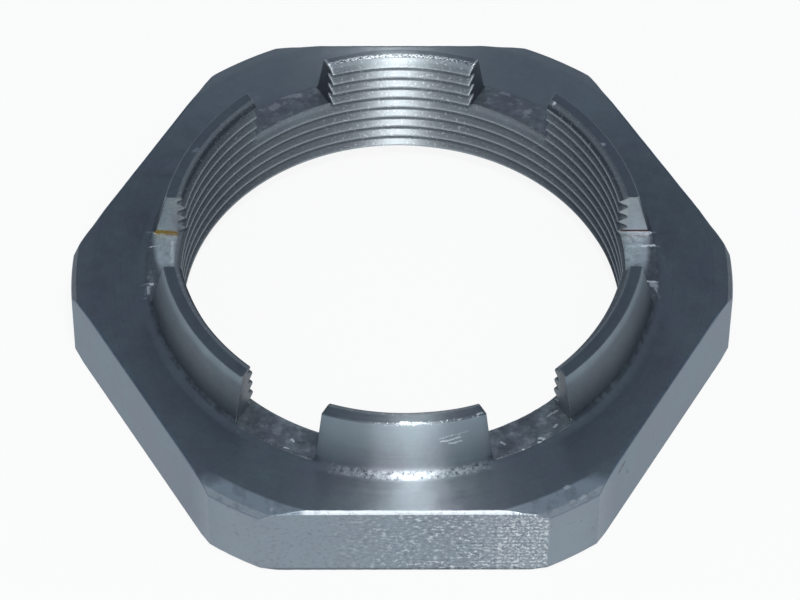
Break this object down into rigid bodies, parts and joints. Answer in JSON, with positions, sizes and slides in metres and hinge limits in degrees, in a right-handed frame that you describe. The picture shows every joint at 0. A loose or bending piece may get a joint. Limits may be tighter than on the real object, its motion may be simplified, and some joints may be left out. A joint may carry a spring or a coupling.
{
  "type": "castellated hexagon hub nut",
  "caption": "Large castellated hexagon nut with turned corners, a slotted crown for a split pin and a fine metric thread, which holds a wheel hub on its axle.",
  "frame": {"origin": "centre of the bearing face, on the thread's axis", "axes": "+Z along the thread's axis, from the bearing face to the crown; one of the six flats faces -Y, and two corners lie on the X axis"},
  "size_m": [0.1302, 0.118, 0.0308],
  "materials": {
    "machined_steel": "machined, dull blue-grey, with light wear on the edges"
  },
  "bodies": {
    "root": {"hub_nut": "machined_steel"}
  },
  "joints": []
}
